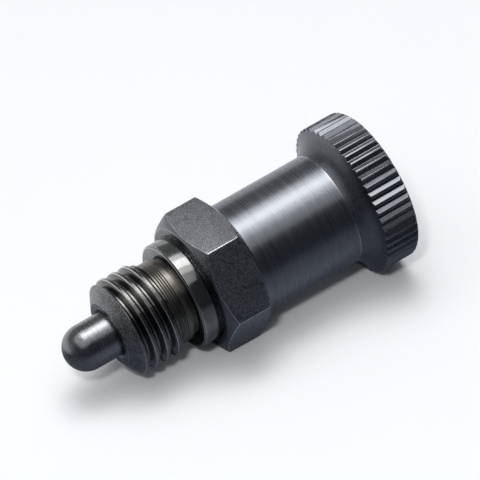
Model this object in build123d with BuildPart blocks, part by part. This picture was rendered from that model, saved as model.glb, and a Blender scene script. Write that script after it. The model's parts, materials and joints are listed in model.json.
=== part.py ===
"""Indexing plunger: a sprung locking pin in a threaded guide, drawn back by a knurled steel knob.

The plunger lies on its side as it comes to rest: one hexagon flat and the rim of the knob on the
ground, and the pin towards -X. Along the plunger every place is a station in millimetres, with
station 0 on the seat, the face of the hexagon that clamps against the machine. Stations are
negative towards the pin and positive towards the knob.
"""

import os
from math import atan2, cos, degrees, radians, sin, tan

from build123d import *

os.makedirs("parts", exist_ok=True)

# ---------------------------------------------------------------- sizes
# Guide, the threaded body
thread_d = 12.0  # M12 x 1.5, over the crests
neck_length = 11.4  # seat to front face
front_face_d = 8.0
lead_chamfer_length = 1.15  # cone from the front face up to the first crest
relief_d = 10.5  # groove that ends the thread
relief_length = 2.4  # flat bottom of that groove
relief_slope = 60.0  # of its thread side, from the axis
pilot_d = 13.4  # ground collar that centres the guide
pilot_length = 2.5  # seat to the collar's front face
pilot_chamfer = 0.22
undercut_d = 12.6  # corner groove between collar and seat
undercut_width = 0.28
undercut_face_d = 13.9  # where the groove runs out on the seat
undercut_face_depth = 0.12  # into the seat
hexagon_flats = 16.0
hexagon_length = 6.0
hexagon_chamfer_d = 15.3
hexagon_chamfer_angle = 30.0  # from the face
barrel_d = 11.0  # rear tube, inside the knob
barrel_length = 11.0
barrel_chamfer = 0.4
chamber_d = 8.2  # spring chamber
chamber_floor = 2.0  # how far ahead of the seat it begins
mouth_chamfer = 0.3  # round the pin, in the front face

# Locking pin
pin_d = 5.7
pin_fit = 0.03  # radial, in the guide's bore
pin_reach = 6.1  # beyond the front face
collar_fit = 0.1  # radial, in the spring chamber
collar_length = 2.0
stem_d = 4.0
stem_grip = 4.6  # length screwed into the knob
stem_chamfer = 0.4

# Retaining bush, pressed into the rear of the barrel
bush_length = 2.8
bush_recess = 0.2  # below the barrel's end
bush_fit = 0.08  # radial, round the stem
bush_chamfer = 0.3

# Return spring, shown at its length with the pin out
wire_d = 0.7
wire_sides = 6  # the round wire is swept as a hexagonal prism, which keeps the coil light
spring_fit = 0.5  # radial, in the spring chamber
spring_turns = 6.0

# Knob
sleeve_d = 14.1
sleeve_length = 13.22  # front end to the start of the flare
sleeve_gap = 0.1  # to the hexagon, with the pin out
sleeve_fit = 0.3  # radial, round the barrel
sleeve_edge = 0.15
flare_length = 2.18  # hollow curve from the sleeve up to the rim
flare_slope = 20.0  # where it leaves the sleeve, from the axis
rim_face = 0.4  # plain ring between the curve and the rim's edge
rim_face_slope = 72.0  # from the axis
rim_d = 19.1
rim_length = 4.5
rim_edge = 0.35
teeth = 52  # of the straight knurl
groove_depth = 0.34
groove_slope = 34.0  # of its sides, from the tangent of the rim
knurl_turn = 0.9  # how far the knob was left turned from a groove straight below
knob_bore_relief = 1.6  # behind the barrel's end
tapping_spare = 1.0  # hole beyond the stem's end
drill_point = 118.0  # at the bottom of that hole

# ---------------------------------------------------------------- stations
front_face = -neck_length
thread_front = front_face + lead_chamfer_length
pilot_front = -pilot_length
relief_rise = (thread_d - relief_d) / 2 / tan(radians(relief_slope))
thread_rear = pilot_front - relief_length - relief_rise
barrel_end = hexagon_length + barrel_length
tip = front_face - pin_reach
nose_centre = tip + pin_d / 2
collar_front = -chamber_floor
collar_rear = collar_front + collar_length
bush_rear = barrel_end - bush_recess
bush_front = bush_rear - bush_length
sleeve_front = hexagon_length + sleeve_gap
flare_front = sleeve_front + sleeve_length
rim_front = flare_front + flare_length
knob_end = rim_front + rim_length
knob_floor = barrel_end + knob_bore_relief
stem_end = knob_floor + stem_grip

# ---------------------------------------------------------------- how it lies
# The front edge of the lowest flat and the front of the rim both touch the ground.
hexagon_chamfer_slope = tan(radians(hexagon_chamfer_angle))
flat_front = (hexagon_flats - hexagon_chamfer_d) / 2 * hexagon_chamfer_slope
lean = atan2(rim_d - hexagon_flats, 2 * (rim_front - flat_front))
seat_height = rim_d / 2 * cos(lean) - rim_front * sin(lean)
low_x = nose_centre * cos(lean) - pin_d / 2
high_x = knob_end * cos(lean) + (rim_d / 2 - rim_edge) * sin(lean)
seat = Vector(-(low_x + high_x) / 2, 0, seat_height)
along = Vector(cos(lean), 0, sin(lean))

plunger_axis = Axis(seat, along)
section = Plane(origin=seat, x_dir=along, z_dir=(0, -1, 0))  # x is the station, y the radius


def across(station):
    """The plane square to the plunger at a station."""
    return Plane(origin=seat + along * station, x_dir=(0, 1, 0), z_dir=along)


# ---------------------------------------------------------------- guide
with BuildPart() as guide_body:
    # The turned neck: front face, lead cone, thread blank, relief groove and centring collar
    with BuildSketch(section):
        with BuildLine():
            Polyline(
                (hexagon_length, 0),
                (front_face, 0),
                (front_face, front_face_d / 2),
                (thread_front, thread_d / 2),
                (thread_rear, thread_d / 2),
                (thread_rear + relief_rise, relief_d / 2),
                (pilot_front, relief_d / 2),
                (pilot_front, pilot_d / 2 - pilot_chamfer),
                (pilot_front + pilot_chamfer, pilot_d / 2),
                (-undercut_width - pilot_chamfer, pilot_d / 2),
                (-undercut_width, pilot_d / 2 - pilot_chamfer),
                (-undercut_width, undercut_d / 2),
                (hexagon_length, undercut_d / 2),
                close=True,
            )
        make_face()
    revolve(axis=plunger_axis)
    # The rear barrel that the knob slides on
    with BuildSketch(section):
        with BuildLine():
            Polyline(
                (0, 0),
                (0, barrel_d / 2),
                (barrel_end - barrel_chamfer, barrel_d / 2),
                (barrel_end, barrel_d / 2 - barrel_chamfer),
                (barrel_end, 0),
                close=True,
            )
        make_face()
    revolve(axis=plunger_axis)
    # The hexagon, with one flat down, and the turned chamfers that round its corners
    with BuildSketch(across(0)):
        RegularPolygon(hexagon_flats / 2, 6, major_radius=False)
    extrude(amount=hexagon_length)
    with BuildSketch(section):
        with BuildLine():
            Polyline(
                (0, hexagon_chamfer_d / 2),
                (0, hexagon_flats),
                ((hexagon_flats - hexagon_chamfer_d / 2) * hexagon_chamfer_slope, hexagon_flats),
                close=True,
            )
        make_face()
        mirror(about=Plane.YZ.offset(hexagon_length / 2))
    revolve(axis=plunger_axis, mode=Mode.SUBTRACT)
    # The corner groove runs out on the seat, so that a plate clears it
    with BuildSketch(section):
        with BuildLine():
            Polyline(
                (0, undercut_d / 2),
                (undercut_face_depth, undercut_d / 2),
                (0, undercut_face_d / 2),
                close=True,
            )
        make_face()
    revolve(axis=plunger_axis, mode=Mode.SUBTRACT)
    # The pin's bore with its open mouth, and the spring chamber behind it
    with BuildSketch(section):
        with BuildLine():
            Polyline(
                (front_face, 0),
                (front_face, pin_d / 2 + pin_fit + mouth_chamfer),
                (front_face + mouth_chamfer, pin_d / 2 + pin_fit),
                (-chamber_floor, pin_d / 2 + pin_fit),
                (-chamber_floor, chamber_d / 2),
                (barrel_end, chamber_d / 2),
                (barrel_end, 0),
                close=True,
            )
        make_face()
    revolve(axis=plunger_axis, mode=Mode.SUBTRACT)
guide_body.part.label = "guide_body"

# ---------------------------------------------------------------- locking pin
with BuildPart() as locking_pin:
    with BuildSketch(section):
        with BuildLine():
            nose = RadiusArc((tip, 0), (nose_centre, pin_d / 2), pin_d / 2)
            Polyline(
                nose @ 1,
                (collar_front, pin_d / 2),
                (collar_front, chamber_d / 2 - collar_fit),
                (collar_rear, chamber_d / 2 - collar_fit),
                (collar_rear, stem_d / 2),
                (stem_end - stem_chamfer, stem_d / 2),
                (stem_end, stem_d / 2 - stem_chamfer),
                (stem_end, 0),
                nose @ 0,
            )
        make_face()
    revolve(axis=plunger_axis)
locking_pin.part.label = "locking_pin"

# ---------------------------------------------------------------- retaining bush
with BuildPart() as retaining_bush:
    with BuildSketch(section):
        with BuildLine():
            Polyline(
                (bush_front, stem_d / 2 + bush_fit),
                (bush_front, chamber_d / 2 - bush_chamfer),
                (bush_front + bush_chamfer, chamber_d / 2),
                (bush_rear, chamber_d / 2),
                (bush_rear, stem_d / 2 + bush_fit + bush_chamfer),
                (bush_rear - bush_chamfer, stem_d / 2 + bush_fit),
                close=True,
            )
        make_face()
    revolve(axis=plunger_axis)
retaining_bush.part.label = "retaining_bush"

# ---------------------------------------------------------------- return spring
spring_length = bush_front - collar_rear
spring_pitch = spring_length / (spring_turns - 1)
coil_radius = chamber_d / 2 - spring_fit - wire_d / 2
coil_start = collar_rear - spring_pitch / 2
with BuildPart() as return_spring:
    # One coil more than is left, so that both ends can be ground flat
    with BuildLine():
        coil = Helix(
            spring_pitch,
            spring_pitch * spring_turns,
            coil_radius,
            center=seat + along * coil_start,
            direction=along,
        )
    with BuildSketch(Plane(origin=coil @ 0, z_dir=coil % 0)):
        RegularPolygon(wire_d / 2, wire_sides, major_radius=False)
    sweep(is_frenet=True)
    split(bisect_by=across(collar_rear), keep=Keep.TOP)
    split(bisect_by=across(bush_front), keep=Keep.BOTTOM)
return_spring.part.label = "return_spring"

# ---------------------------------------------------------------- knob
with BuildPart() as knob:
    # Sleeve, flare and rim, turned in one piece
    with BuildSketch(section):
        with BuildLine():
            flare = TangentArc(
                (flare_front, sleeve_d / 2),
                (rim_front - rim_face / tan(radians(rim_face_slope)), rim_d / 2 - rim_face),
                tangent=(cos(radians(flare_slope)), sin(radians(flare_slope))),
            )
            Polyline(
                flare @ 1,
                (rim_front, rim_d / 2),
                (knob_end - rim_edge, rim_d / 2),
                (knob_end, rim_d / 2 - rim_edge),
                (knob_end, 0),
                (sleeve_front, 0),
                (sleeve_front, sleeve_d / 2 - sleeve_edge),
                (sleeve_front + sleeve_edge, sleeve_d / 2),
                flare @ 0,
            )
        make_face()
    revolve(axis=plunger_axis)
    # Straight knurl: grooves with sloping sides, from the rear face out through the flare
    groove_mouth = 2 * groove_depth / tan(radians(groove_slope))
    with BuildSketch(across(flare_front)):
        with PolarLocations(rim_d / 2, teeth, start_angle=knurl_turn - 90):
            Polygon(
                (-groove_depth, 0),
                (0, -groove_mouth / 2),
                (groove_depth, -groove_mouth / 2),
                (groove_depth, groove_mouth / 2),
                (0, groove_mouth / 2),
                align=None,
            )
    extrude(amount=knob_end - flare_front, mode=Mode.SUBTRACT)
    # The bore for the barrel, and the tapping drill hole for the stem
    with BuildSketch(section):
        with BuildLine():
            Polyline(
                (sleeve_front, 0),
                (sleeve_front, barrel_d / 2 + sleeve_fit + sleeve_edge),
                (sleeve_front + sleeve_edge, barrel_d / 2 + sleeve_fit),
                (knob_floor, barrel_d / 2 + sleeve_fit),
                (knob_floor, stem_d / 2),
                (stem_end + tapping_spare, stem_d / 2),
                (stem_end + tapping_spare + stem_d / 2 / tan(radians(drill_point / 2)), 0),
                close=True,
            )
        make_face()
    revolve(axis=plunger_axis, mode=Mode.SUBTRACT)
knob.part.label = "knob"

export_step(guide_body.part, "parts/guide_body.step")
export_step(locking_pin.part, "parts/locking_pin.step")
export_step(retaining_bush.part, "parts/retaining_bush.step")
export_step(return_spring.part, "parts/return_spring.step")
export_step(knob.part, "parts/knob.step")
print(f"lies at {degrees(lean):.3f} degrees, seat at {seat}")
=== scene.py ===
# %% [markdown]
# # An indexing plunger, dressed for its picture
#
# An indexing plunger is a sprung pin in a threaded steel body. The body is screwed into a plate,
# and a knurled knob draws the pin back, so that whatever the pin was holding can turn or slide.
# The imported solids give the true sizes. This lesson puts the finish on them: the real thread, the
# rounded edges, the blackened steel, and the soft light of a small product studio.

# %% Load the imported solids
import json
from math import cos, pi, radians, sin, tan

import bmesh
import bpy
from mathutils import Matrix, Vector

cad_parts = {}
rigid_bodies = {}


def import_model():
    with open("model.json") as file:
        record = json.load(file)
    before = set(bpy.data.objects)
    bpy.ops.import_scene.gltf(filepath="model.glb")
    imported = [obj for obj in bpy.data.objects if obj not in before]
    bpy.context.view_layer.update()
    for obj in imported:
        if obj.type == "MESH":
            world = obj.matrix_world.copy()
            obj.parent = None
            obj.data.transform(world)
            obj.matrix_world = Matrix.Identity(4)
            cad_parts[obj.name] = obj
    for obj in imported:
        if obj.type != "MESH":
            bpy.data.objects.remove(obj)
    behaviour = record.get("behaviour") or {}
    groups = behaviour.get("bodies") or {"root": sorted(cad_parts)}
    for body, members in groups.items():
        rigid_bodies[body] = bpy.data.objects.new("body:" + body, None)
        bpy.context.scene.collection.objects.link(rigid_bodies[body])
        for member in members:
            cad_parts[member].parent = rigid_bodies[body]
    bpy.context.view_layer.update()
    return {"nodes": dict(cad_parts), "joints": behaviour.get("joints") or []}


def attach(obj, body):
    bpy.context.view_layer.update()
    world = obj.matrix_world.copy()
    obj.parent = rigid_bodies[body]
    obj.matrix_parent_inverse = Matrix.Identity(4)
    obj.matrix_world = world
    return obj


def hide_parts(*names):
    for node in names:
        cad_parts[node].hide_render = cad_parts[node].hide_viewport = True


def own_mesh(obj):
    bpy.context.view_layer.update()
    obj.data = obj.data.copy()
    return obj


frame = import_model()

print("nodes:", sorted(frame["nodes"]))

# %% [markdown]
# ## Where things are
# Almost every form here was turned on a lathe, so it is easiest to model along the lathe's own
# axis: x is the station along the plunger, in millimetres from the seat where it clamps to the
# machine, and the radius is the distance from that axis. The real plunger lies down with its knob
# on the table, so one matrix tips each finished piece onto the table at the end.

# %% The lathe axis
MM = 0.001
turning_joint = next(joint for joint in frame["joints"] if joint["name"] == "knob_turn")
SEAT = Vector(turning_joint["pos_m"])
ALONG = Vector(turning_joint["axis"]).normalized()
TO_TABLE = Matrix.Translation(SEAT) @ ALONG.to_track_quat("X", "Z").to_matrix().to_4x4()
print("the seat is at", SEAT, "and the axis rises", round(ALONG.z, 4))

# %% [markdown]
# ## Turning a form
# A turned part is a contour spun about an axis. The contour is drawn as a chain of vertices, the
# spin operator carries it round a full circle, and merged doubles close the seam and the poles.

# %% Turn a contour
ROUND_STEPS, MERGE_WITHIN, WORN = 192, 0.0005, "worn"


def turned(contour, steps=ROUND_STEPS, closed=True):
    """Spins (station, radius) points, in millimetres, into a form round the lathe axis."""
    form = bmesh.new()
    form.loops.layers.float.new(WORN)
    chain = [form.verts.new((station * MM, 0, -radius * MM)) for station, radius in contour]
    followers = chain[1:] + chain[:1] if closed else chain[1:]
    edges = [form.edges.new(link) for link in zip(chain, followers)]
    bmesh.ops.spin(form, geom=chain + edges, cent=(0, 0, 0), axis=(1, 0, 0), angle=2 * pi,
                   steps=steps, use_merge=True)
    bmesh.ops.remove_doubles(form, verts=form.verts, dist=MERGE_WITHIN * MM)
    bmesh.ops.recalc_face_normals(form, faces=form.faces)
    return form


print("a full turn takes", ROUND_STEPS, "steps")

# %% [markdown]
# ## Breaking the edges
# No machined edge is truly sharp: each keeps a tiny round or break that catches the light. So
# every corner of a contour may have its own break, which the bevel operator cuts after the spin.
# The new faces are marked in a corner attribute called worn, and the steel is brighter there
# later on.

# %% Break edges
ON_RING_WITHIN, BREAK_STEPS = 0.004, 2


def on_ring(vertex, ring):
    """Whether a vertex lies on the circle at that (station, radius)."""
    station, radius = ring
    across = Vector((0, vertex.co.y, vertex.co.z)).length
    return max(abs(vertex.co.x - station * MM), abs(across - radius * MM)) < ON_RING_WITHIN * MM


def break_edges(form, edges, width, wear):
    """Rounds edges over a width in millimetres, and marks how worn the new faces are."""
    made = bmesh.ops.bevel(form, geom=edges, offset=width * MM, offset_type="OFFSET",
                           segments=BREAK_STEPS, profile=0.5, affect="EDGES", material=-1,
                           clamp_overlap=True)
    worn = form.loops.layers.float[WORN]
    for face in made["faces"]:
        for corner in face.loops:
            corner[worn] = wear


def break_rings(form, rings, width, wear):
    """Rounds the circular edges at the given (station, radius) corners."""
    edges = [edge for ring in rings for edge in form.edges
             if all(on_ring(vertex, ring) for vertex in edge.verts)]
    break_edges(form, edges, width, wear)


print("an edge is rounded in", BREAK_STEPS, "steps")

# %% [markdown]
# ## From a form to a piece
# A form is only a bmesh, held along the lathe. It becomes an object, and then a piece: laid on
# the table, shaded smooth where its faces meet at a shallow angle, and tied to the body that
# carries it when the joints move. The object itself stays at the origin, with its place in its
# mesh, so that patterns on object coordinates stay where they are.

# %% Make and settle a piece
SMOOTH_BELOW = 30.0


def as_object(form, name):
    """A form as a plain object."""
    mesh = bpy.data.meshes.new(name)
    form.to_mesh(mesh)
    form.free()
    made = bpy.data.objects.new(name, mesh)
    bpy.context.scene.collection.objects.link(made)
    return made


def settled(piece, body, smooth_below=SMOOTH_BELOW):
    """Tips a piece onto the table, shades it, and lets it ride."""
    piece.data.transform(TO_TABLE)
    piece.data.shade_smooth()
    piece.data.set_sharp_from_angle(angle=radians(smooth_below))
    piece.data.update()
    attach(piece, body)
    print(piece.name, "has", len(piece.data.polygons), "faces")
    return piece


print("faces are smooth where they meet below", SMOOTH_BELOW, "degrees")

# %% [markdown]
# ## The turned body
# The real body is cut from hexagon bar. Its neck carries a lead cone, an M12 x 1.5 thread, a
# relief groove where the threading tool ran out, and a ground collar that centres it in a plate.
# The groove has coarse tool rings on its floor, and it is deeper beside the collar, to clear the
# grinding wheel. Behind the hexagon a thin barrel holds the spring. One closed contour gives all
# of that, with the bore and the spring chamber on its inner side.

# %% Stations and radii of the body
FRONT, CREST_START, THREAD_REAR, RELIEF_FRONT = -11.4, -10.25, -5.33, -4.9
UNDERCUT_FRONT, COLLAR_FRONT, CHAMBER_FLOOR, COLLAR_REAR = -3.1, -2.5, -2.0, -0.28
HEXAGON_REAR, BARREL_END = 6.0, 17.0
BORE, FRONT_FACE, UNDERCUT, RELIEF, CREST = 2.88, 4.0, 4.9, 5.25, 6.0
CHAMBER, BARREL, NECK_ROOT, COLLAR = 4.1, 5.5, 6.3, 6.7
BORE_CHAMFER, COLLAR_CHAMFER, BARREL_CHAMFER = 0.3, 0.22, 0.4
TOOL_RINGS, RING_DEPTH, UNDERCUT_RAMP = (-4.62, -4.32, -4.02, -3.72), 0.09, 0.1
print("the neck is", -FRONT, "mm long and the barrel", BARREL_END - HEXAGON_REAR, "mm")

# %% Turn the neck and the barrel
ring_points = [(place + step * RING_DEPTH, RELIEF - depth * RING_DEPTH)
               for place in TOOL_RINGS for step, depth in ((-1, 0), (0, 1), (1, 0))]
front_corners = [(FRONT, BORE + BORE_CHAMFER), (FRONT, FRONT_FACE)]
collar_corners = [
    (COLLAR_FRONT, COLLAR - COLLAR_CHAMFER), (COLLAR_FRONT + COLLAR_CHAMFER, COLLAR),
    (COLLAR_REAR - COLLAR_CHAMFER, COLLAR), (COLLAR_REAR, COLLAR - COLLAR_CHAMFER)]
barrel_corners = [(BARREL_END - BARREL_CHAMFER, BARREL), (BARREL_END, BARREL - BARREL_CHAMFER)]
inside_hexagon = HEXAGON_REAR / 2
neck = turned([
    *front_corners, (CREST_START, CREST), (THREAD_REAR, CREST), (RELIEF_FRONT, RELIEF),
    *ring_points, (UNDERCUT_FRONT, RELIEF), (UNDERCUT_FRONT + UNDERCUT_RAMP, UNDERCUT),
    (COLLAR_FRONT, UNDERCUT), *collar_corners, (COLLAR_REAR, NECK_ROOT),
    (inside_hexagon, NECK_ROOT), (inside_hexagon, BARREL), *barrel_corners,
    (BARREL_END, CHAMBER), (CHAMBER_FLOOR, CHAMBER), (CHAMBER_FLOOR, BORE),
    (FRONT + BORE_CHAMFER, BORE)])
break_rings(neck, collar_corners, width=0.05, wear=0.7)
break_rings(neck, [*front_corners, (CREST_START, CREST)], width=0.06, wear=0.6)
break_rings(neck, barrel_corners, width=0.05, wear=0.7)
print("neck:", len(neck.faces), "faces")

# %% [markdown]
# ## The hexagon
# Hexagon bar is turned first: the lathe puts a 30 degree chamfer on each end, which is why a real
# nut or bolt head has those curved scallops where the chamfer meets the flats. Here a lens-shaped
# ring is spun with both chamfers on it, then six planes slice the flats, and each cut is closed.
# The scallops come by themselves, as they do at the lathe. One flat faces straight down. A
# shallow groove round the collar lets the front face sit flush on a plate. The flats are found
# again as the faces parallel to the axis with many sides, and their edges are broken.

# %% Helpers for slicing
CUT_WITHIN = 0.00001
FLAT_DIRECTIONS = [Vector((0, -sin(turn * pi / 3), -cos(turn * pi / 3))) for turn in range(6)]


def everything(form):
    """All the vertices, edges and faces of a form."""
    return form.verts[:] + form.edges[:] + form.faces[:]


def slice_off(form, point, outwards):
    """Cuts away what lies beyond a plane."""
    bmesh.ops.bisect_plane(form, geom=everything(form), plane_co=point, plane_no=outwards,
                           clear_outer=True, dist=CUT_WITHIN * MM)


def close_holes(form):
    """Puts a face into every open outline."""
    bmesh.ops.holes_fill(form, edges=[edge for edge in form.edges if edge.is_boundary], sides=0)


print("the flats face", len(FLAT_DIRECTIONS), "ways")

# %% Cut the hexagon
FLAT, CORNER, CHAMFER, INNER, CHAMFER_ANGLE = 8.0, 9.3, 7.65, 5.2, radians(30)
GROOVE_DEPTH, GROOVE_ROOT, GROOVE_RUNOUT = 0.175, 6.0, 6.95
PARALLEL_BELOW, MANY_SIDES = 0.01, 20
corner_depth = (CORNER - CHAMFER) * tan(CHAMFER_ANGLE)
hexagon = turned([
    (GROOVE_DEPTH, INNER), (GROOVE_DEPTH, GROOVE_ROOT), (0.0, GROOVE_RUNOUT), (0.0, CHAMFER),
    (corner_depth, CORNER), (HEXAGON_REAR - corner_depth, CORNER), (HEXAGON_REAR, CHAMFER),
    (HEXAGON_REAR, INNER)])
for outwards in FLAT_DIRECTIONS:
    slice_off(hexagon, outwards * FLAT * MM, outwards)
    close_holes(hexagon)
bmesh.ops.recalc_face_normals(hexagon, faces=hexagon.faces)
flat_faces = [face for face in hexagon.faces
              if abs(face.normal.x) < PARALLEL_BELOW and len(face.verts) > MANY_SIDES]
flat_edges = list({edge for face in flat_faces for edge in face.edges})
break_edges(hexagon, flat_edges, width=0.07, wear=1.0)
break_rings(hexagon, [(0.0, CHAMFER), (HEXAGON_REAR, CHAMFER), (0.0, GROOVE_RUNOUT)],
            width=0.04, wear=0.5)
print("hexagon:", len(flat_faces), "flats,", len(hexagon.faces), "faces")

# %% [markdown]
# ## The screw thread
# A thread is a groove that climbs one pitch a turn. The spin operator can climb too: its dvec
# moves the section forwards at each step, so a V-shaped section becomes the path of the threading
# tool. The V widens at its mouth, which breaks the edges of the crests. Taking that path away
# from the blank cuts the lead cone and the relief just as the tool does, with a ragged first
# crest and a soft run-out, which no stack of rings would give.

# %% Sweep the threading tool
PITCH, FLANK_ANGLE, TOOL_START, TOOL_TURNS, TOOL_STEPS = 1.5, radians(30), -13.5, 6, 96
ROOT, ROOT_FLAT, TOOL_REACH, CREST_BREAK = 5.2, 0.2, 6.35, 0.06


def half_width(radius):
    """Half the groove's width at a radius."""
    return ROOT_FLAT / 2 + (radius - ROOT) * tan(FLANK_ANGLE)


tool = bmesh.new()
tool.loops.layers.float.new(WORN)
flank_half = half_width(CREST - CREST_BREAK)
mouth_half = flank_half + CREST_BREAK
section = [(-ROOT_FLAT / 2, ROOT), (ROOT_FLAT / 2, ROOT), (flank_half, CREST - CREST_BREAK),
           (mouth_half, CREST), (mouth_half, TOOL_REACH), (-mouth_half, TOOL_REACH),
           (-mouth_half, CREST), (-flank_half, CREST - CREST_BREAK)]
points = [tool.verts.new(((TOOL_START + place) * MM, 0, -radius * MM))
          for place, radius in section]
outline = [tool.edges.new(pair) for pair in zip(points, points[1:] + points[:1])]
bmesh.ops.spin(tool, geom=points + outline, cent=(0, 0, 0), axis=(1, 0, 0),
               dvec=(PITCH * MM / TOOL_STEPS, 0, 0), angle=2 * pi * TOOL_TURNS,
               steps=TOOL_STEPS * TOOL_TURNS)
close_holes(tool)
bmesh.ops.recalc_face_normals(tool, faces=tool.faces)
reach = [vertex.co.x / MM for vertex in tool.verts]
print("the tool runs from", round(min(reach), 2), "to", round(max(reach), 2))


# %% Cut the thread and join the hexagon
def combined(target, cutter, operation):
    """Runs one Boolean on target, keeps its result and removes the cutter."""
    cut = target.modifiers.new(operation, "BOOLEAN")
    cut.operation, cut.object, cut.solver = operation, cutter, "EXACT"
    bpy.context.view_layer.update()
    result = bpy.data.meshes.new_from_object(
        target.evaluated_get(bpy.context.evaluated_depsgraph_get()))
    target.modifiers.clear()
    target.data = result
    bpy.data.objects.remove(cutter)


guide = as_object(neck, "guide")
combined(guide, as_object(tool, "tool"), "DIFFERENCE")
combined(guide, as_object(hexagon, "hexagon"), "UNION")
settled(guide, "guide")
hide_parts("guide_body")

# %% [markdown]
# ## The locking pin
# The pin is a ground steel rod with a full ball nose, so that it finds its hole by itself. It is
# turned here with a fine step, because a nearly polished ball shows every facet. The nose is a
# quarter circle of contour points, made by spinning one vertex about the ball's centre. Behind
# the collar that the spring pushes on, a thin stem runs back to the knob.

# %% Turn the pin
TIP, PIN, STEM, STEM_END, STEM_CHAMFER, NOSE_STEPS = -17.5, 2.85, 2.0, 23.2, 0.4, 24
PUSHED_FRONT, PUSHED_REAR, PUSHED = CHAMBER_FLOOR, 0.0, 4.0


def arc(start, centre, angle, steps):
    """The (station, radius) points of an arc, made by spinning its start about its centre."""
    path = bmesh.new()
    first = path.verts.new((start[0] * MM, 0, -start[1] * MM))
    bmesh.ops.spin(path, geom=[first], cent=(centre[0] * MM, 0, -centre[1] * MM),
                   axis=(0, 1, 0), angle=angle, steps=steps)
    points = sorted((vertex.co.x / MM, abs(vertex.co.z) / MM) for vertex in path.verts)
    path.free()
    return points


nose = arc((TIP, 0.0), (TIP + PIN, 0.0), -pi / 2, NOSE_STEPS)
pin_form = turned(nose + [
    (PUSHED_FRONT, PIN), (PUSHED_FRONT, PUSHED), (PUSHED_REAR, PUSHED), (PUSHED_REAR, STEM),
    (STEM_END - STEM_CHAMFER, STEM), (STEM_END, STEM - STEM_CHAMFER), (STEM_END, 0.0)],
    closed=False)
break_rings(pin_form, [(PUSHED_FRONT, PUSHED), (PUSHED_REAR, PUSHED),
                       (STEM_END - STEM_CHAMFER, STEM)], width=0.05, wear=0.5)
pin = settled(as_object(pin_form, "locking_pin_turned"), "plunger")
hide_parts("locking_pin")

# %% [markdown]
# ## The knob
# The knob is turned from bar as a sleeve, a hollow flare and a rim, then a straight knurl is cut
# into the rim. The flare is an arc that leaves the sleeve at twenty degrees, so its centre follows
# from its two ends, and spinning one vertex about that centre draws it. The blank is spun in six
# steps a tooth, so that every tooth gets the same faces.

# %% Draw the flare
SLEEVE_FRONT, FLARE_FRONT, RIM_FRONT, KNOB_END = 6.1, 19.32, 21.5, 26.0
BARREL_ROOM_END, STEM_HOLE_END, DRILL_POINT = 18.6, 24.2, 25.4
KNOB_BORE, SLEEVE, RIM, SLEEVE_EDGE, RIM_EDGE = 5.8, 7.05, 9.55, 0.15, 0.35
FLARE_SLOPE, RIM_FACE, RIM_FACE_SLOPE, FLARE_STEPS = radians(20), 0.4, radians(72), 12
arc_end = Vector((RIM_FRONT - RIM_FACE / tan(RIM_FACE_SLOPE), RIM - RIM_FACE))
chord = arc_end - Vector((FLARE_FRONT, SLEEVE))
half_sweep = chord.angle_signed(Vector((1, 0))) - FLARE_SLOPE
flare_radius = chord.length / 2 / sin(half_sweep)
flare_centre = (FLARE_FRONT - flare_radius * sin(FLARE_SLOPE),
                SLEEVE + flare_radius * cos(FLARE_SLOPE))
flare = arc((FLARE_FRONT, SLEEVE), flare_centre, 2 * half_sweep, FLARE_STEPS)
print("flare radius", round(flare_radius, 2), "ends at", [round(value, 3) for value in flare[-1]])

# %% Turn the blank
TEETH, STEPS_A_TOOTH = 52, 6
sleeve_corners = [(SLEEVE_FRONT, SLEEVE - SLEEVE_EDGE), (SLEEVE_FRONT + SLEEVE_EDGE, SLEEVE)]
end_corners = [(KNOB_END - RIM_EDGE, RIM), (KNOB_END, RIM - RIM_EDGE)]
knob_form = turned([
    (DRILL_POINT, 0.0), (STEM_HOLE_END, STEM), (BARREL_ROOM_END, STEM),
    (BARREL_ROOM_END, KNOB_BORE), (SLEEVE_FRONT + SLEEVE_EDGE, KNOB_BORE),
    (SLEEVE_FRONT, KNOB_BORE + SLEEVE_EDGE), *sleeve_corners, *flare, (RIM_FRONT, RIM),
    *end_corners, (KNOB_END, 0.0)], steps=TEETH * STEPS_A_TOOTH, closed=False)
break_rings(knob_form, sleeve_corners, width=0.05, wear=0.6)
break_rings(knob_form, [(FLARE_FRONT, SLEEVE)], width=0.05, wear=0.5)
break_rings(knob_form, [(RIM_FRONT, RIM)], width=0.06, wear=0.3)
break_rings(knob_form, end_corners, width=0.06, wear=0.5)
print("knob blank:", len(knob_form.faces), "faces")

# %% [markdown]
# ## The knurl
# A straight knurl is one groove, repeated. The cutter is drawn as the outline of one groove with a
# small flat at its bottom and a gentler slope at its mouth, since no such edge is sharp. Extruded
# from the foot of the flare past the end of the rim, and spun with use_duplicate, it becomes all
# fifty-two, and one Boolean cuts them. A bump map would be quicker, but then the rim's outline
# and the edge of the flare would stay round.

# %% Cut the knurl
KNURL_DEPTH, KNURL_SLOPE, KNURL_TURN, HALF_FLOOR = 0.34, radians(34), radians(0.9), 0.03
EDGE_ROUND, EDGE_SLOPE, OVERRUN = 0.02, radians(17), 0.2
flank_end = (KNURL_DEPTH - EDGE_ROUND) / tan(KNURL_SLOPE)
mouth = flank_end + EDGE_ROUND / tan(EDGE_SLOPE)
half_groove = [(HALF_FLOOR, RIM - KNURL_DEPTH), (flank_end, RIM - EDGE_ROUND), (mouth, RIM),
               (mouth, RIM + OVERRUN)]
groove_section = half_groove + [(-place, radius) for place, radius in reversed(half_groove)]
grooves = bmesh.new()
grooves.loops.layers.float.new(WORN)
corners = [grooves.verts.new((FLARE_FRONT * MM, place * MM, -radius * MM))
           for place, radius in groove_section]
grown = bmesh.ops.extrude_face_region(grooves, geom=[grooves.faces.new(corners)])["geom"]
bmesh.ops.translate(grooves, vec=((KNOB_END + OVERRUN - FLARE_FRONT) * MM, 0, 0),
                    verts=[part for part in grown if isinstance(part, bmesh.types.BMVert)])
bmesh.ops.recalc_face_normals(grooves, faces=grooves.faces)
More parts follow.
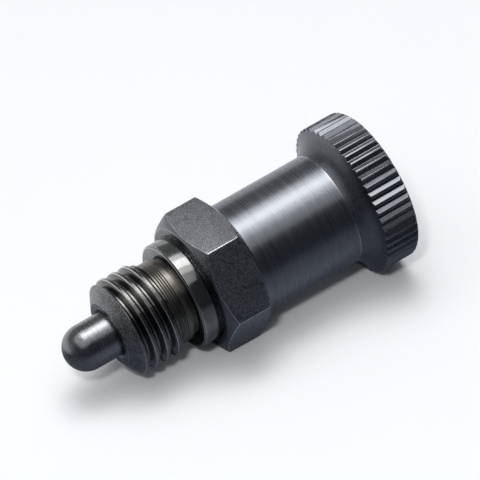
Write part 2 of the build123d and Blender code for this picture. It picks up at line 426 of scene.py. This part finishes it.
bmesh.ops.rotate(grooves, cent=(0, 0, 0), matrix=Matrix.Rotation(KNURL_TURN, 3, "X"),
                 verts=grooves.verts)
bmesh.ops.spin(grooves, geom=everything(grooves), cent=(0, 0, 0), axis=(1, 0, 0),
               angle=2 * pi * (TEETH - 1) / TEETH, steps=TEETH - 1, use_duplicate=True)
knob = as_object(knob_form, "knob_turned")
combined(knob, as_object(grooves, "grooves"), "DIFFERENCE")
settled(knob, "plunger")
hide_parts("knob")

# %% [markdown]
# ## The return spring
# A compression spring is wound from round wire and its ends are ground flat. One circle, spun with
# a climb, is the wire. Two planes grind the ends.

# %% Wind the spring
WIRE, WIRE_SIDES, COIL, SPRING_TURNS, COIL_STEPS = 0.35, 14, 3.25, 6, 56
SPRING_FRONT, SPRING_REAR, KNOB_STROKE, WIRE_SMOOTH_BELOW = 0.0, 14.0, 6.0, 40.0
climb = (SPRING_REAR - SPRING_FRONT) / (SPRING_TURNS - 1)
wire = bmesh.new()
wire.loops.layers.float.new(WORN)
across_wire = (Matrix.Translation(((SPRING_FRONT - climb / 2) * MM, 0, -COIL * MM))
               @ Matrix.Rotation(pi / 2, 4, "X"))
circle = bmesh.ops.create_circle(wire, cap_ends=False, segments=WIRE_SIDES, radius=WIRE * MM,
                                 matrix=across_wire)["verts"]
bmesh.ops.spin(wire, geom=circle + wire.edges[:], cent=(0, 0, 0), axis=(1, 0, 0),
               dvec=(climb * MM / COIL_STEPS, 0, 0), angle=2 * pi * SPRING_TURNS,
               steps=COIL_STEPS * SPRING_TURNS)
for station, towards in ((SPRING_FRONT, -1), (SPRING_REAR, 1)):
    slice_off(wire, (station * MM, 0, 0), (towards, 0, 0))
close_holes(wire)
bmesh.ops.recalc_face_normals(wire, faces=wire.faces)
spring = settled(as_object(wire, "return_spring_wound"), "spring", WIRE_SMOOTH_BELOW)
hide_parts("return_spring")
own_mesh(spring)

# %% [markdown]
# ## Finishes
# All of the steel is blackened: a hot oxide bath turns it into a dark blue-grey that is still a
# metal. It reflects only a tenth to a fifth of the light that meets it head on, and far more at a
# glancing angle, so a metallic surface with a very dark colour gives it. What sets the zones
# apart is how each was cut. Those marks are node groups, built once and placed in each finish.
# A few helpers come first, because every finish is made of the same kinds of node.


# %% Helpers for nodes
def node(tree, kind, **settings):
    """Adds a node. A setting is an attribute of the node, or else the value of a socket."""
    made = tree.nodes.new(kind)
    for name, value in settings.items():
        if hasattr(made, name):
            setattr(made, name, value)
        else:
            made.inputs[name.replace("_", " ").title()].default_value = value
    return made


def feed(tree, value, socket):
    """Gives a socket its value, which is a constant or the output of another node."""
    if isinstance(value, bpy.types.NodeSocket):
        tree.links.new(value, socket)
    else:
        socket.default_value = value


def maths(tree, operation, *values):
    """The result of one math node."""
    made = node(tree, "ShaderNodeMath", operation=operation)
    for socket, value in zip(made.inputs, values):
        feed(tree, value, socket)
    return made.outputs[0]


# %% Helpers for ranges, noise and colours
def remapped(tree, value, start, end, low=0.0, high=1.0):
    """Turns the values from start to end into the values from low to high."""
    made = node(tree, "ShaderNodeMapRange", from_min=start, from_max=end, to_min=low, to_max=high)
    feed(tree, value, made.inputs["Value"])
    return made.outputs[0]


def noise(tree, position, scale, detail, roughness=0.5):
    """Noise, read at a position."""
    made = node(tree, "ShaderNodeTexNoise", detail=detail, roughness=roughness)
    feed(tree, position, made.inputs["Vector"])
    feed(tree, scale, made.inputs["Scale"])
    return made.outputs["Fac"]


def coloured(tree, value, stops):
    """Turns a value into a colour, on a ramp through (place, colour) stops."""
    made = node(tree, "ShaderNodeValToRGB")
    elements = made.color_ramp.elements
    elements[0].position, elements[1].position = stops[0][0], stops[-1][0]
    for place, _ in stops[1:-1]:
        elements.new(place)
    for element, (_, colour) in zip(elements, stops):
        element.color = (*colour, 1)
    feed(tree, value, made.inputs["Fac"])
    return made.outputs["Color"]


def blended(tree, share, first, second, blend_type="MIX"):
    """Blends a second colour into a first one, by a share from 0 to 1."""
    made = node(tree, "ShaderNodeMix", data_type="RGBA", blend_type=blend_type)
    for place, value in ((0, share), (6, first), (7, second)):
        feed(tree, value, made.inputs[place])
    return made.outputs[2]


# %% [markdown]
# ### Where a mark lies
# A tool mark follows the lathe, so the groups read the position along the lathe axis. A Mapping
# node of the texture type undoes a placement, and given the one that laid the plunger on the
# table, it stands the object coordinates up on the lathe again, in millimetres.

# %% Helpers for groups
def group_tree(name, inputs, outputs):
    """An empty shader group with float inputs and outputs."""
    tree = bpy.data.node_groups.new(name, "ShaderNodeTree")
    for label, value in inputs.items():
        socket = tree.interface.new_socket(label, in_out="INPUT", socket_type="NodeSocketFloat")
        socket.default_value = value
    for label in outputs:
        tree.interface.new_socket(label, in_out="OUTPUT", socket_type="NodeSocketFloat")
    return tree, tree.nodes.new("NodeGroupInput"), tree.nodes.new("NodeGroupOutput")


def lathe_position(tree):
    """The station, the radius and the whole position on the lathe, in millimetres, as sockets."""
    mapping = node(tree, "ShaderNodeMapping", vector_type="TEXTURE")
    feed(tree, node(tree, "ShaderNodeTexCoord").outputs["Object"], mapping.inputs["Vector"])
    feed(tree, SEAT, mapping.inputs["Location"])
    feed(tree, TO_TABLE.to_euler(), mapping.inputs["Rotation"])
    feed(tree, (MM, MM, MM), mapping.inputs["Scale"])
    parts = node(tree, "ShaderNodeSeparateXYZ")
    feed(tree, mapping.outputs[0], parts.inputs[0])
    across = node(tree, "ShaderNodeCombineXYZ")
    for axis in ("Y", "Z"):
        feed(tree, parts.outputs[axis], across.inputs[axis])
    length = node(tree, "ShaderNodeVectorMath", operation="LENGTH")
    feed(tree, across.outputs[0], length.inputs[0])
    return parts.outputs["X"], length.outputs["Value"], mapping.outputs[0]


# %% [markdown]
# ### Tool marks
# A lathe tool leaves fine rings. Noise that reads only the station and the radius is the same all
# the way round, so it makes rings on a cylinder and circles on an end face. A slow noise over the
# whole surface is let in as well, because real marks break off and start again.

# %% Group: tool marks
BREAK_REACH, BREAK_SCALE = 12.0, 0.35
marks, marks_in, marks_out = group_tree(
    "Tool marks", {"Lines per mm": 8.0, "Breaks": 0.15}, ["Height"])
station, radius, position = lathe_position(marks)
ring_place = node(marks, "ShaderNodeCombineXYZ")
for axis, distance in (("X", station), ("Y", radius)):
    feed(marks, maths(marks, "MULTIPLY", distance, marks_in.outputs["Lines per mm"]),
         ring_place.inputs[axis])
breaks = maths(marks, "MULTIPLY", marks_in.outputs["Breaks"], BREAK_REACH)
wander = noise(marks, position, BREAK_SCALE, detail=2.0)
feed(marks, maths(marks, "MULTIPLY", wander, breaks), ring_place.inputs["Z"])
feed(marks, noise(marks, ring_place.outputs[0], 1.0, detail=1.0), marks_out.inputs["Height"])
print("tool marks:", len(marks.nodes), "nodes")

# %% [markdown]
# ### Grain
# Steel that was only rolled or blasted has a fine sparkle instead of rings. Two noises, one eight
# times coarser, give the height of that grain and a slow drift of tone, such as the bath leaves.

# %% Group: grain
grain, grain_in, grain_out = group_tree("Grain", {"Grains per mm": 9.0}, ["Height", "Tone"])
_, _, position = lathe_position(grain)
for output, share, detail in (("Height", 1.0, 0.5), ("Tone", 0.12, 2.0)):
    scale = maths(grain, "MULTIPLY", grain_in.outputs["Grains per mm"], share)
    feed(grain, noise(grain, position, scale, detail, roughness=0.6), grain_out.inputs[output])
print("grain:", len(grain.nodes), "nodes")

# %% [markdown]
# ### Worn edges
# The oxide is thin, and handling rubs it off the edges first. The mask is the worn attribute from
# the bevels, broken up by a little noise so that no edge is bright all the way along.

# %% Group: worn edges
PATCH_FROM, PATCH_TO, LEAST_WEAR = 0.3, 0.6, 0.35
wear, wear_in, wear_out = group_tree("Worn edges", {"Patches per mm": 1.2}, ["Mask"])
_, _, position = lathe_position(wear)
worn_edge = node(wear, "ShaderNodeAttribute", attribute_name=WORN)
patches = noise(wear, position, wear_in.outputs["Patches per mm"], detail=2.0)
kept = remapped(wear, patches, PATCH_FROM, PATCH_TO, low=LEAST_WEAR)
feed(wear, maths(wear, "MULTIPLY", worn_edge.outputs["Fac"], kept), wear_out.inputs["Mask"])
print("worn edges:", len(wear.nodes), "nodes")

# %% [markdown]
# ### The blackened steel
# Each finish is one material with the same layout: the groups give masks and heights, ramps turn
# them into a colour and a roughness, and a bump node carries the marks into the reflections. The
# numbers of a finish say how it was cut: the sleeve is brushed in long fine lines, the flats of
# the hexagon sparkle like rolled bar, and the collar is ground nearly smooth.

# %% Build a blackened finish
MICROMETRE = 0.001 * MM
TONE_FROM, TONE_TO, LEAST_ROUGHNESS = 0.3, 0.7, 0.03
BARE_STEEL = (0.57, 0.57, 0.58, 1)


def blackened(name, colour, roughness, lines=8.0, cut=0.0, streaks=0.3, grains=9.0, speck=0.0,
              sparkle=0.0, clouds=0.4, drift=0.15, spread=0.06):
    """Makes a blackened steel. Lines and grains are counted to the millimetre.

    Cut and speck are the depths of the lines and of the grains, in micrometres. Streaks, sparkle
    and clouds say how far the lines, the grains and the bath change the tone. Drift and spread
    say how far that tone changes the colour and the roughness.
    """
    finish = bpy.data.materials.new(name)
    finish.use_nodes = True
    tree = finish.node_tree
    shader = tree.nodes["Principled BSDF"]
    shader.inputs["Metallic"].default_value = 1.0
    tool_lines = node(tree, "ShaderNodeGroup", node_tree=marks)
    tool_lines.inputs["Lines per mm"].default_value = lines
    flecks = node(tree, "ShaderNodeGroup", node_tree=grain)
    flecks.inputs["Grains per mm"].default_value = grains
    edges = node(tree, "ShaderNodeGroup", node_tree=wear)
    tone = 0.5 - 0.5 * (streaks + sparkle + clouds)
    for mask, share in ((tool_lines.outputs["Height"], streaks),
                        (flecks.outputs["Height"], sparkle), (flecks.outputs["Tone"], clouds)):
        tone = maths(tree, "ADD", maths(tree, "MULTIPLY", mask, share), tone)
    oxide = coloured(tree, tone, [(TONE_FROM, [part * (1 - drift) for part in colour]),
                                  (TONE_TO, [part * (1 + drift) for part in colour])])
    feed(tree, blended(tree, edges.outputs["Mask"], oxide, BARE_STEEL),
         shader.inputs["Base Color"])
    feed(tree, remapped(tree, tone, TONE_FROM, TONE_TO, max(roughness - spread, LEAST_ROUGHNESS),
                        roughness + spread), shader.inputs["Roughness"])
    height = maths(tree, "ADD", maths(tree, "MULTIPLY", tool_lines.outputs["Height"], cut),
                   maths(tree, "MULTIPLY", flecks.outputs["Height"], speck))
    bump = node(tree, "ShaderNodeBump", strength=1.0, distance=MICROMETRE)
    feed(tree, height, bump.inputs["Height"])
    feed(tree, bump.outputs["Normal"], shader.inputs["Normal"])
    return finish


print("a mark is measured in units of", MICROMETRE, "m")

# %% Finishes of the body
turned_black = blackened(
    "turned_black", (0.122, 0.126, 0.135), roughness=0.24, lines=7.0, cut=6.0, grains=7.0,
    speck=35.0, sparkle=0.8, drift=0.35)
cone_black = blackened(
    "cone_black", (0.181, 0.184, 0.189), roughness=0.26, lines=7.0, cut=6.0, grains=7.0,
    speck=70.0, sparkle=1.4, drift=0.5, spread=0.08)
thread_black = blackened(
    "thread_black", (0.136, 0.134, 0.130), roughness=0.20, lines=7.0, cut=5.0)
thread_edge = blackened(
    "thread_edge", (0.706, 0.706, 0.714), roughness=0.26, lines=7.0, cut=3.0)
relief_black = blackened(
    "relief_black", (0.155, 0.146, 0.130), roughness=0.30, lines=8.0, cut=10.0, streaks=1.0,
    drift=0.3)
ground_black = blackened(
    "ground_black", (0.187, 0.189, 0.184), roughness=0.14, lines=10.0, cut=2.5, streaks=0.6,
    grains=4.0, speck=4.0, clouds=0.9, drift=0.22, spread=0.05)
hexagon_black = blackened(
    "hexagon_black", (0.201, 0.206, 0.219), roughness=0.35, grains=8.0, speck=50.0,
    sparkle=1.8, drift=0.35, spread=0.08)
body_finishes = [turned_black, thread_black, relief_black, ground_black, hexagon_black,
                 thread_edge, cone_black]
print("finishes of the body:", [finish.name for finish in body_finishes])

# %% Finishes of the knob, the pin, the bush and the spring
sleeve_black = blackened(
    "sleeve_black", (0.179, 0.189, 0.204), roughness=0.27, lines=10.0, cut=5.5, streaks=0.55,
    clouds=0.1, drift=0.2, spread=0.05)
flare_black = blackened(
    "flare_black", (0.120, 0.126, 0.139), roughness=0.36, lines=8.0, cut=3.0, grains=7.0,
    speck=22.0, sparkle=0.7, drift=0.25)
knurl_black = blackened(
    "knurl_black", (0.156, 0.163, 0.176), roughness=0.27, lines=7.0, cut=4.0, drift=0.25)
knurl_edge = blackened(
    "knurl_edge", (0.271, 0.279, 0.292), roughness=0.32, lines=7.0, cut=4.0)
pin_black = blackened(
    "pin_black", (0.212, 0.217, 0.225), roughness=0.23, lines=8.0, cut=7.0, streaks=0.5,
    grains=7.0, speck=14.0, sparkle=0.4, drift=0.2)
bush_bright = blackened("bush_bright", (0.407, 0.407, 0.407), roughness=0.25, lines=8.0, cut=4.0)
spring_bright = blackened(
    "spring_bright", (0.544, 0.544, 0.557), roughness=0.22, grains=12.0, speck=3.0)
knob_finishes = [sleeve_black, knurl_black, knurl_edge, flare_black]
print("finishes of the knob:", [finish.name for finish in knob_finishes])

# %% [markdown]
# ## Laying the finishes on
# One piece can carry several finishes, as the body does: each face takes the one for its station.
# The place of a face is read back on the lathe axis, where a zone is just a range of stations.
# The broken edges of the crests and of the knurl's lands are told by the way they face.

# %% Zones of the body and of the knob
BORE_ZONE, THREAD_ZONE_END, COLLAR_ZONE_END, FLATS_ZONE = BORE + 0.4, -5.05, -0.2, 7.0
RELIEF_ZONE_END, SLEEVE_ZONE_END = COLLAR_FRONT - 0.02, FLARE_FRONT + 0.05
FLARE_ZONE_END, KNOB_INSIDE = RIM_FRONT - 0.02, 7.0
CREST_EDGE_FACING, LAND_EDGE_FACING, FLAT_FACING = (0.5, 0.8), (0.93, 0.98), 0.999


def between(value, ends):
    """Whether a value lies between two ends."""
    return ends[0] < value < ends[1]


def body_zone(station, radius, facing, outward):
    """0 turned, 1 thread, 2 relief, 3 ground collar, 4 flats, 5 edges of the crests, 6 cone."""
    if station > HEXAGON_REAR or radius <= BORE_ZONE:
        return 0
    if station < CREST_START:
        return 6
    if station < THREAD_ZONE_END:
        on_crest = radius > CREST - CREST_BREAK
        return 5 if on_crest and between(abs(facing.x), CREST_EDGE_FACING) else 1
    if station < RELIEF_ZONE_END:
        return 2
    if station < COLLAR_ZONE_END:
        return 3
    on_flat = any(abs(facing @ direction) > FLAT_FACING for direction in FLAT_DIRECTIONS)
    return 4 if on_flat and radius > FLATS_ZONE else 0


def knob_zone(station, radius, facing, outward):
    """0 sleeve, 1 knurled rim, 2 edges of its lands, 3 flare."""
    if station < SLEEVE_ZONE_END or radius < KNOB_INSIDE:
        return 0
    if station < FLARE_ZONE_END:
        return 3
    return 2 if between(outward, LAND_EDGE_FACING) else 1


print("the thread's finish ends at", THREAD_ZONE_END, "and the flare's at", FLARE_ZONE_END)


# %% Lay the finishes on
def lay_on(piece, finishes, zone=lambda *place: 0):
    """Gives each face the finish of its zone, found from (station, radius, facing, outward)."""
    piece.data.materials.clear()
    for finish in finishes:
        piece.data.materials.append(finish)
    to_lathe = TO_TABLE.inverted()
    for face in piece.data.polygons:
        centre = to_lathe @ face.center
        facing = to_lathe.to_3x3() @ face.normal
        outward = Vector((0, centre.y, centre.z))
        face.material_index = zone(centre.x / MM, outward.length / MM, facing,
                                   facing @ outward.normalized())


lay_on(guide, body_finishes, body_zone)
lay_on(knob, knob_finishes, knob_zone)
lay_on(pin, [pin_black])
lay_on(spring, [spring_bright])
bush = frame["nodes"]["retaining_bush"]
for slot in bush.material_slots:
    slot.material = bush_bright
print("the bush has", len(bush.material_slots), "slot with", bush_bright.name)

# %% [markdown]
# ## The table
# A sheet of white card, as product photographers use. It is far larger than the view, so it is the
# whole background, and its colour alone makes the picture pale. The faint mottling keeps it from
# being a dead flat white.

# %% Make the table
TABLE_REACH, MOTTLES_A_METRE = 2.5, 30.0
table_form = bmesh.new()
bmesh.ops.create_grid(table_form, x_segments=4, y_segments=4, size=TABLE_REACH)
table = as_object(table_form, "table")
card = bpy.data.materials.new("white_card")
card.use_nodes = True
card_tree = card.node_tree
card_shader = card_tree.nodes["Principled BSDF"]
card_shader.inputs["Roughness"].default_value = 0.9
card_shader.inputs["Specular IOR Level"].default_value = 0.1
card_place = node(card_tree, "ShaderNodeTexCoord").outputs["Object"]
card_colour = coloured(card_tree, noise(card_tree, card_place, MOTTLES_A_METRE, detail=2.0),
                       [(0.0, (0.898, 0.912, 0.922)), (1.0, (0.918, 0.931, 0.940))])
table.data.materials.append(card)
print("the table is", 2 * TABLE_REACH, "m across")

# %% [markdown]
# ### The table as the steel sees it
# Polished steel mirrors the table as well as the lamps, and a white sheet without end would turn
# the underside of the plunger pale. In a small studio the lit part of the table is not much
# longer than the product. So in reflections only, which the glossy rays of the Light Path node
# pick out, shade is painted on the card. Where the plunger stands on it, this is a painted
# shadow. The card is lightest a centimetre away, and painted shade darkens it towards the viewer
# and past both ends, a little blue as shade is. The far side stays white, because there the
# pale wall lights it.

# %% Paint shade on the card in reflections
PLUNGER_MIDDLE, LIT_HALF, END_STEEPNESS, SHADE_REACH, SHADE_BLUE = 0.003, 0.012, 3.0, 0.1, 0.16
# How dark the painted shade is, by distance from the plunger as a share of SHADE_REACH.
PAINTED_SHADES = ((0.0, 0.13), (0.05, 0.35), (0.1, 0.42), (0.2, 0.28), (0.4, 0.215), (0.8, 0.145),
          (1.0, 0.11))
UNSHADED_FROM, SHADED_FROM = 0.022, 0.010


def bluish(grey, blue):
    """A grey with some blue added, and half as much red taken away."""
    return grey * (1 - blue / 2), grey, grey * (1 + blue)


spot = node(card_tree, "ShaderNodeSeparateXYZ")
feed(card_tree, card_place, spot.inputs[0])
from_middle = maths(card_tree, "ABSOLUTE",
                    maths(card_tree, "SUBTRACT", spot.outputs["X"], PLUNGER_MIDDLE))
past_end = maths(card_tree, "MAXIMUM", maths(card_tree, "SUBTRACT", from_middle, LIT_HALF), 0.0)
past_end = maths(card_tree, "MULTIPLY", past_end, END_STEEPNESS)
in_front = maths(card_tree, "MAXIMUM", maths(card_tree, "MULTIPLY", spot.outputs["Y"], -1.0), 0.0)
away = maths(card_tree, "SQRT", maths(card_tree, "ADD",
                                      maths(card_tree, "MULTIPLY", past_end, past_end),
                                      maths(card_tree, "MULTIPLY", in_front, in_front)))
# Painted shade, seen only in reflections: the plunger's painted shadow, and darker card further
# out.
painted_shade = coloured(card_tree, maths(card_tree, "DIVIDE", away, SHADE_REACH),
                  [(place, bluish(grey, SHADE_BLUE)) for place, grey in PAINTED_SHADES])
near_side = remapped(card_tree, spot.outputs["Y"], UNSHADED_FROM, SHADED_FROM)
in_reflections = node(card_tree, "ShaderNodeLightPath").outputs["Is Glossy Ray"]
share = maths(card_tree, "MULTIPLY", in_reflections, near_side)
feed(card_tree, blended(card_tree, share, card_colour, painted_shade, "MULTIPLY"),
     card_shader.inputs["Base Color"])
print("the card is made of", len(card_tree.nodes), "nodes")

# %% [markdown]
# ## The light
# Dark polished metal shows the studio more than itself, so the lamps are really painted shapes.
# A lamp is placed by what it does on the plunger: the angle round the axis, where 90 is towards
# the viewer and 180 is overhead, and the lean towards the knob. A narrow bright softbox makes the
# long white band on every cylinder. The wider, dimmer diffuser round it gives that band its soft
# edges, and the sheet round both is dimmer still and keeps the shadow on the table soft. One
# small lamp at the front draws the thin crisp line of shadow where the plunger meets the table.
# It is kept out of reflections, or it would show as a hard dot on every curve.

# %% Hang the lamps
LAMP_DISTANCE = 0.6
SIDE = Vector((0, 1, 0))
RISE = ALONG.cross(SIDE)


def lamp(name, around, lean, width, length, strength):
    """A rectangular lamp of width by length, in degrees as the plunger sees it."""
    across = -cos(radians(around)) * RISE - sin(radians(around)) * SIDE
    way = cos(radians(lean)) * across + sin(radians(lean)) * ALONG
    light = bpy.data.lights.new(name, "AREA")
    light.shape = "RECTANGLE"
    light.size = 2 * LAMP_DISTANCE * tan(radians(length / 2))
    light.size_y = 2 * LAMP_DISTANCE * tan(radians(width / 2))
    light.energy = strength * pi * light.size * light.size_y
    hung = bpy.data.objects.new(name, light)
    bpy.context.scene.collection.objects.link(hung)
    second = way.cross(ALONG).normalized()
    first = second.cross(way)
    facing = Matrix((first, second, way)).transposed().to_4x4()
    hung.matrix_world = Matrix.Translation(SEAT + way * LAMP_DISTANCE) @ facing
    return hung


lamp("top_sheet", around=177, lean=-7, width=72, length=68, strength=0.79)
lamp("diffuser", around=188, lean=11, width=45, length=38, strength=1.51)
lamp("softbox", around=188.5, lean=11, width=19, length=36, strength=2.8)
front = lamp("front_fill", around=147.5, lean=-18, width=5, length=5, strength=116.0)
front.visible_glossy = False
print("lamps:", [light.name for light in bpy.data.lights])

# %% [markdown]
# ## The room
# The room behind the viewer is dark and a little blue, and the wall behind the table is pale, so
# the world changes with direction. One ramp runs from the near side to the far side, and low down
# at the far side it gives way to the bright wall.

# %% Fill the studio
ROOM = ((0.0, 0.06, 0.2), (0.35, 0.088, 0.2), (0.63, 0.25, 0.05), (1.0, 0.265, 0.04))
WALL = (1.1, 1.1, 1.1, 1)
WALL_TOP, WALL_FULL_BELOW, WALL_EDGE, WALL_FULL_BEYOND = 0.3, 0.1, 0.1, 0.6
studio = bpy.data.worlds.new("studio")
bpy.context.scene.world = studio
studio.use_nodes = True
air = studio.node_tree
direction = node(air, "ShaderNodeSeparateXYZ")
feed(air, node(air, "ShaderNodeTexCoord").outputs["Generated"], direction.inputs[0])
room = coloured(air, remapped(air, direction.outputs["Y"], -1.0, 1.0),
                [(place, bluish(grey, blue)) for place, grey, blue in ROOM])
low = remapped(air, direction.outputs["Z"], WALL_TOP, WALL_FULL_BELOW)
behind = remapped(air, direction.outputs["Y"], WALL_EDGE, WALL_FULL_BEYOND)
feed(air, blended(air, maths(air, "MULTIPLY", low, behind), room, WALL),
     air.nodes["Background"].inputs["Color"])
print("the room is made of", len(air.nodes), "nodes")

# %% [markdown]
# ## The camera
# A long lens from well above flattens the perspective, as in a catalogue picture. The camera is
# rolled by seven degrees, so that the plunger climbs across the frame.

# %% Place the camera
lens = bpy.data.cameras.new("camera")
lens.lens, lens.sensor_width, lens.clip_end = 363.29, 36.0, 10.0
camera = bpy.data.objects.new("camera", lens)
bpy.context.scene.collection.objects.link(camera)
camera.location = (-0.20055, -0.37757, 0.37927)
camera.rotation_euler = (radians(49.1319), radians(5.4958), radians(-33.025))
bpy.context.scene.camera = camera
bpy.context.scene.view_settings.view_transform = "Standard"
print("the camera is", round((camera.location - SEAT).length, 3), "m away")
